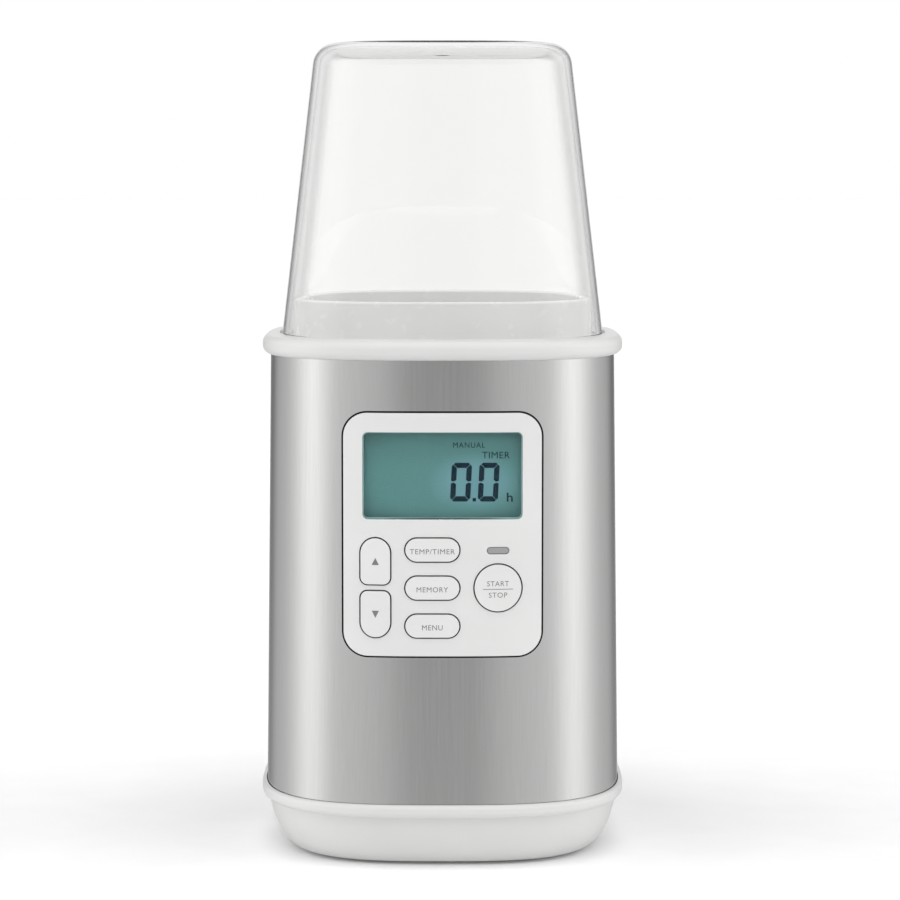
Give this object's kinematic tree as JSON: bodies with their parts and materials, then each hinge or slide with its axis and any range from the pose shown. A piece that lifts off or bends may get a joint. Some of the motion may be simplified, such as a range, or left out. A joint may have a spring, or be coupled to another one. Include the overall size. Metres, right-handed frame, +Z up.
{
  "type": "yogurt maker",
  "caption": "Upright rounded-square yogurt maker: brushed steel body on a white base, white inner pot, clear lift-off cover, front panel with a display and push buttons.",
  "frame": {"origin": "middle of the body on the table plane, under the feet", "axes": "+Z up, -Y the front with the control panel, +X to the right seen from the front"},
  "size_m": [0.1254, 0.1316, 0.275],
  "materials": {
    "clear_plastic": "clear, polished",
    "white_plastic": "satin white moulding",
    "pot_plastic": "smooth white moulding",
    "brushed_steel": "vertical brushed grain",
    "panel_plastic": "satin white moulding",
    "window_plastic": "clear, flat and polished",
    "display_glass": "grey-green liquid crystal display",
    "lens_plastic": "smoked lens",
    "led_resin": "clear amber resin",
    "circuit_board": "green solder mask",
    "black_plastic": "fine matt moulding",
    "cable_sleeve": "ribbed flat cable",
    "heater_foil": "rolled foil",
    "lead_insulation": "silicone insulation",
    "sensor_resin": "cast resin",
    "fuse_glass": "clear glass",
    "transformer_core": "varnished laminations",
    "relay_case": "grey moulding",
    "capacitor_sleeve": "shrink sleeve",
    "gland_plastic": "white moulding, fine matt",
    "foot_rubber": "matt grey rubber",
    "screw_steel": "zinc plated",
    "key_plastic": "satin white keys",
    "plunger_plastic": "moulded switch plunger"
  },
  "bodies": {
    "housing": {"top_collar": "white_plastic", "outer_shell": "brushed_steel", "inner_pot": "pot_plastic", "base_tub": "white_plastic", "base_plate": "white_plastic", "control_panel": "panel_plastic", "display_window": "window_plastic", "lcd_glass": "display_glass", "lcd_holder": "panel_plastic", "indicator_lens": "lens_plastic", "indicator_led": "led_resin", "control_board": "circuit_board", "microcontroller": "black_plastic", "board_cable": "cable_sleeve", "heater_band": "heater_foil", "heater_lead": "lead_insulation", "thermistor": "sensor_resin", "thermal_fuse": "fuse_glass", "power_board": "circuit_board", "transformer": "transformer_core", "relay": "relay_case", "terminal_block": "relay_case", "capacitor": "capacitor_sleeve", "mains_fuse": "fuse_glass", "cord_gland": "gland_plastic", "foot_1": "foot_rubber", "base_screw_1": "screw_steel", "pot_screw_1": "screw_steel", "board_screw_1": "screw_steel", "foot_2": "foot_rubber", "base_screw_2": "screw_steel", "pot_screw_2": "screw_steel", "board_screw_2": "screw_steel", "foot_3": "foot_rubber", "base_screw_3": "screw_steel", "pot_screw_3": "screw_steel", "board_screw_3": "screw_steel", "foot_4": "foot_rubber", "base_screw_4": "screw_steel", "pot_screw_4": "screw_steel", "board_screw_4": "screw_steel", "up_switch": "black_plastic", "down_switch": "black_plastic", "temp_timer_switch": "black_plastic", "memory_switch": "black_plastic", "menu_switch": "black_plastic", "start_stop_switch": "black_plastic"},
    "cover": {"cover": "clear_plastic"},
    "up_key": {"up_button": "key_plastic", "up_plunger": "plunger_plastic"},
    "down_key": {"down_button": "key_plastic", "down_plunger": "plunger_plastic"},
    "temp_timer_key": {"temp_timer_button": "key_plastic", "temp_timer_plunger": "plunger_plastic"},
    "memory_key": {"memory_button": "key_plastic", "memory_plunger": "plunger_plastic"},
    "menu_key": {"menu_button": "key_plastic", "menu_plunger": "plunger_plastic"},
    "start_stop_key": {"start_stop_button": "key_plastic", "start_stop_plunger": "plunger_plastic"}
  },
  "joints": [
    {"name": "cover_lift", "type": "slide", "parent": "housing", "child": "cover", "axis": [0, 0, 1], "range_m": [0, 0.12]},
    {"name": "up_press", "type": "slide", "parent": "housing", "child": "up_key", "axis": [0, 1, 0], "range_m": [0, 0.0005], "stiffness_N_per_m": 400, "springref_m": -0.002},
    {"name": "down_press", "type": "slide", "parent": "housing", "child": "down_key", "axis": [0, 1, 0], "range_m": [0, 0.0005], "stiffness_N_per_m": 400, "springref_m": -0.002},
    {"name": "temp_timer_press", "type": "slide", "parent": "housing", "child": "temp_timer_key", "axis": [0, 1, 0], "range_m": [0, 0.0005], "stiffness_N_per_m": 400, "springref_m": -0.002},
    {"name": "memory_press", "type": "slide", "parent": "housing", "child": "memory_key", "axis": [0, 1, 0], "range_m": [0, 0.0005], "stiffness_N_per_m": 400, "springref_m": -0.002},
    {"name": "menu_press", "type": "slide", "parent": "housing", "child": "menu_key", "axis": [0, 1, 0], "range_m": [0, 0.0005], "stiffness_N_per_m": 400, "springref_m": -0.002},
    {"name": "start_stop_press", "type": "slide", "parent": "housing", "child": "start_stop_key", "axis": [0, 1, 0], "range_m": [0, 0.0005], "stiffness_N_per_m": 400, "springref_m": -0.002}
  ]
}
